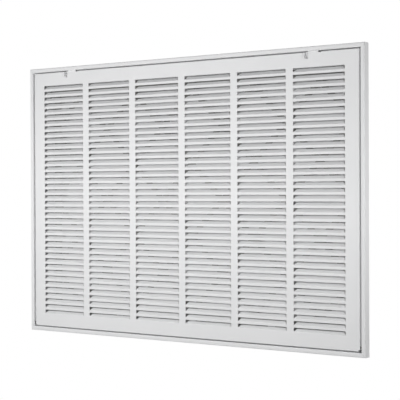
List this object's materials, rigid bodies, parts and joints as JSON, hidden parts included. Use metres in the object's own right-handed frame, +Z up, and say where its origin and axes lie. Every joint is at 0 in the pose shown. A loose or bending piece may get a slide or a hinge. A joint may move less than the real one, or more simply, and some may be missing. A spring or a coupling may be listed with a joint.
{
  "type": "louvred return air filter grille",
  "caption": "Wall return-air grille: mitred steel frame with a duct neck, a stamped louvred door that swings down, sliding latches and a pleated filter.",
  "frame": {"origin": "centre of the four wall-screw holes in the side rails, on the wall plane behind the frame", "axes": "+X to the right as seen from the room, +Z up, -Y out of the wall towards the room; the neck reaches into the duct along +Y"},
  "size_m": [0.8288, 0.0612, 0.5746],
  "materials": {
    "powder_coat": "white powder coat, satin, very fine orange peel",
    "zinc_steel": "zinc plated, dull",
    "nylon": "black nylon, matt",
    "card": "grey-white die-cut card, matt",
    "filter_fleece": "white needled fleece, pleated"
  },
  "bodies": {
    "frame": {"frame_top_rail": "powder_coat", "frame_bottom_rail": "powder_coat", "frame_left_rail": "powder_coat", "frame_right_rail": "powder_coat", "corner_angle_top_left": "zinc_steel", "corner_angle_top_right": "zinc_steel", "corner_angle_bottom_left": "zinc_steel", "corner_angle_bottom_right": "zinc_steel", "corner_rivets": "zinc_steel", "hinge_pin_left": "zinc_steel", "hinge_pin_right": "zinc_steel", "hinge_washer_left": "nylon", "hinge_washer_right": "nylon", "latch_keeper_left": "powder_coat", "latch_keeper_right": "powder_coat", "keeper_rivets": "zinc_steel", "filter_front_card": "card", "filter_back_card": "card", "filter_media": "filter_fleece", "filter_wires": "zinc_steel"},
    "door": {"door_panel": "powder_coat", "latch_guide_left": "zinc_steel", "latch_guide_right": "zinc_steel"},
    "left_latch": {"latch_slider_left": "powder_coat"},
    "right_latch": {"latch_slider_right": "powder_coat"}
  },
  "joints": [
    {"name": "door_hinge", "type": "hinge", "parent": "frame", "child": "door", "pos_m": [0, -0.0095, -0.27165], "axis": [1, 0, 0], "range_deg": [0, 105]},
    {"name": "left_latch_slide", "type": "slide", "parent": "door", "child": "left_latch", "axis": [1, 0, 0], "range_m": [0, 0.0037]},
    {"name": "right_latch_slide", "type": "slide", "parent": "door", "child": "right_latch", "axis": [1, 0, 0], "range_m": [0, 0.0037]}
  ]
}
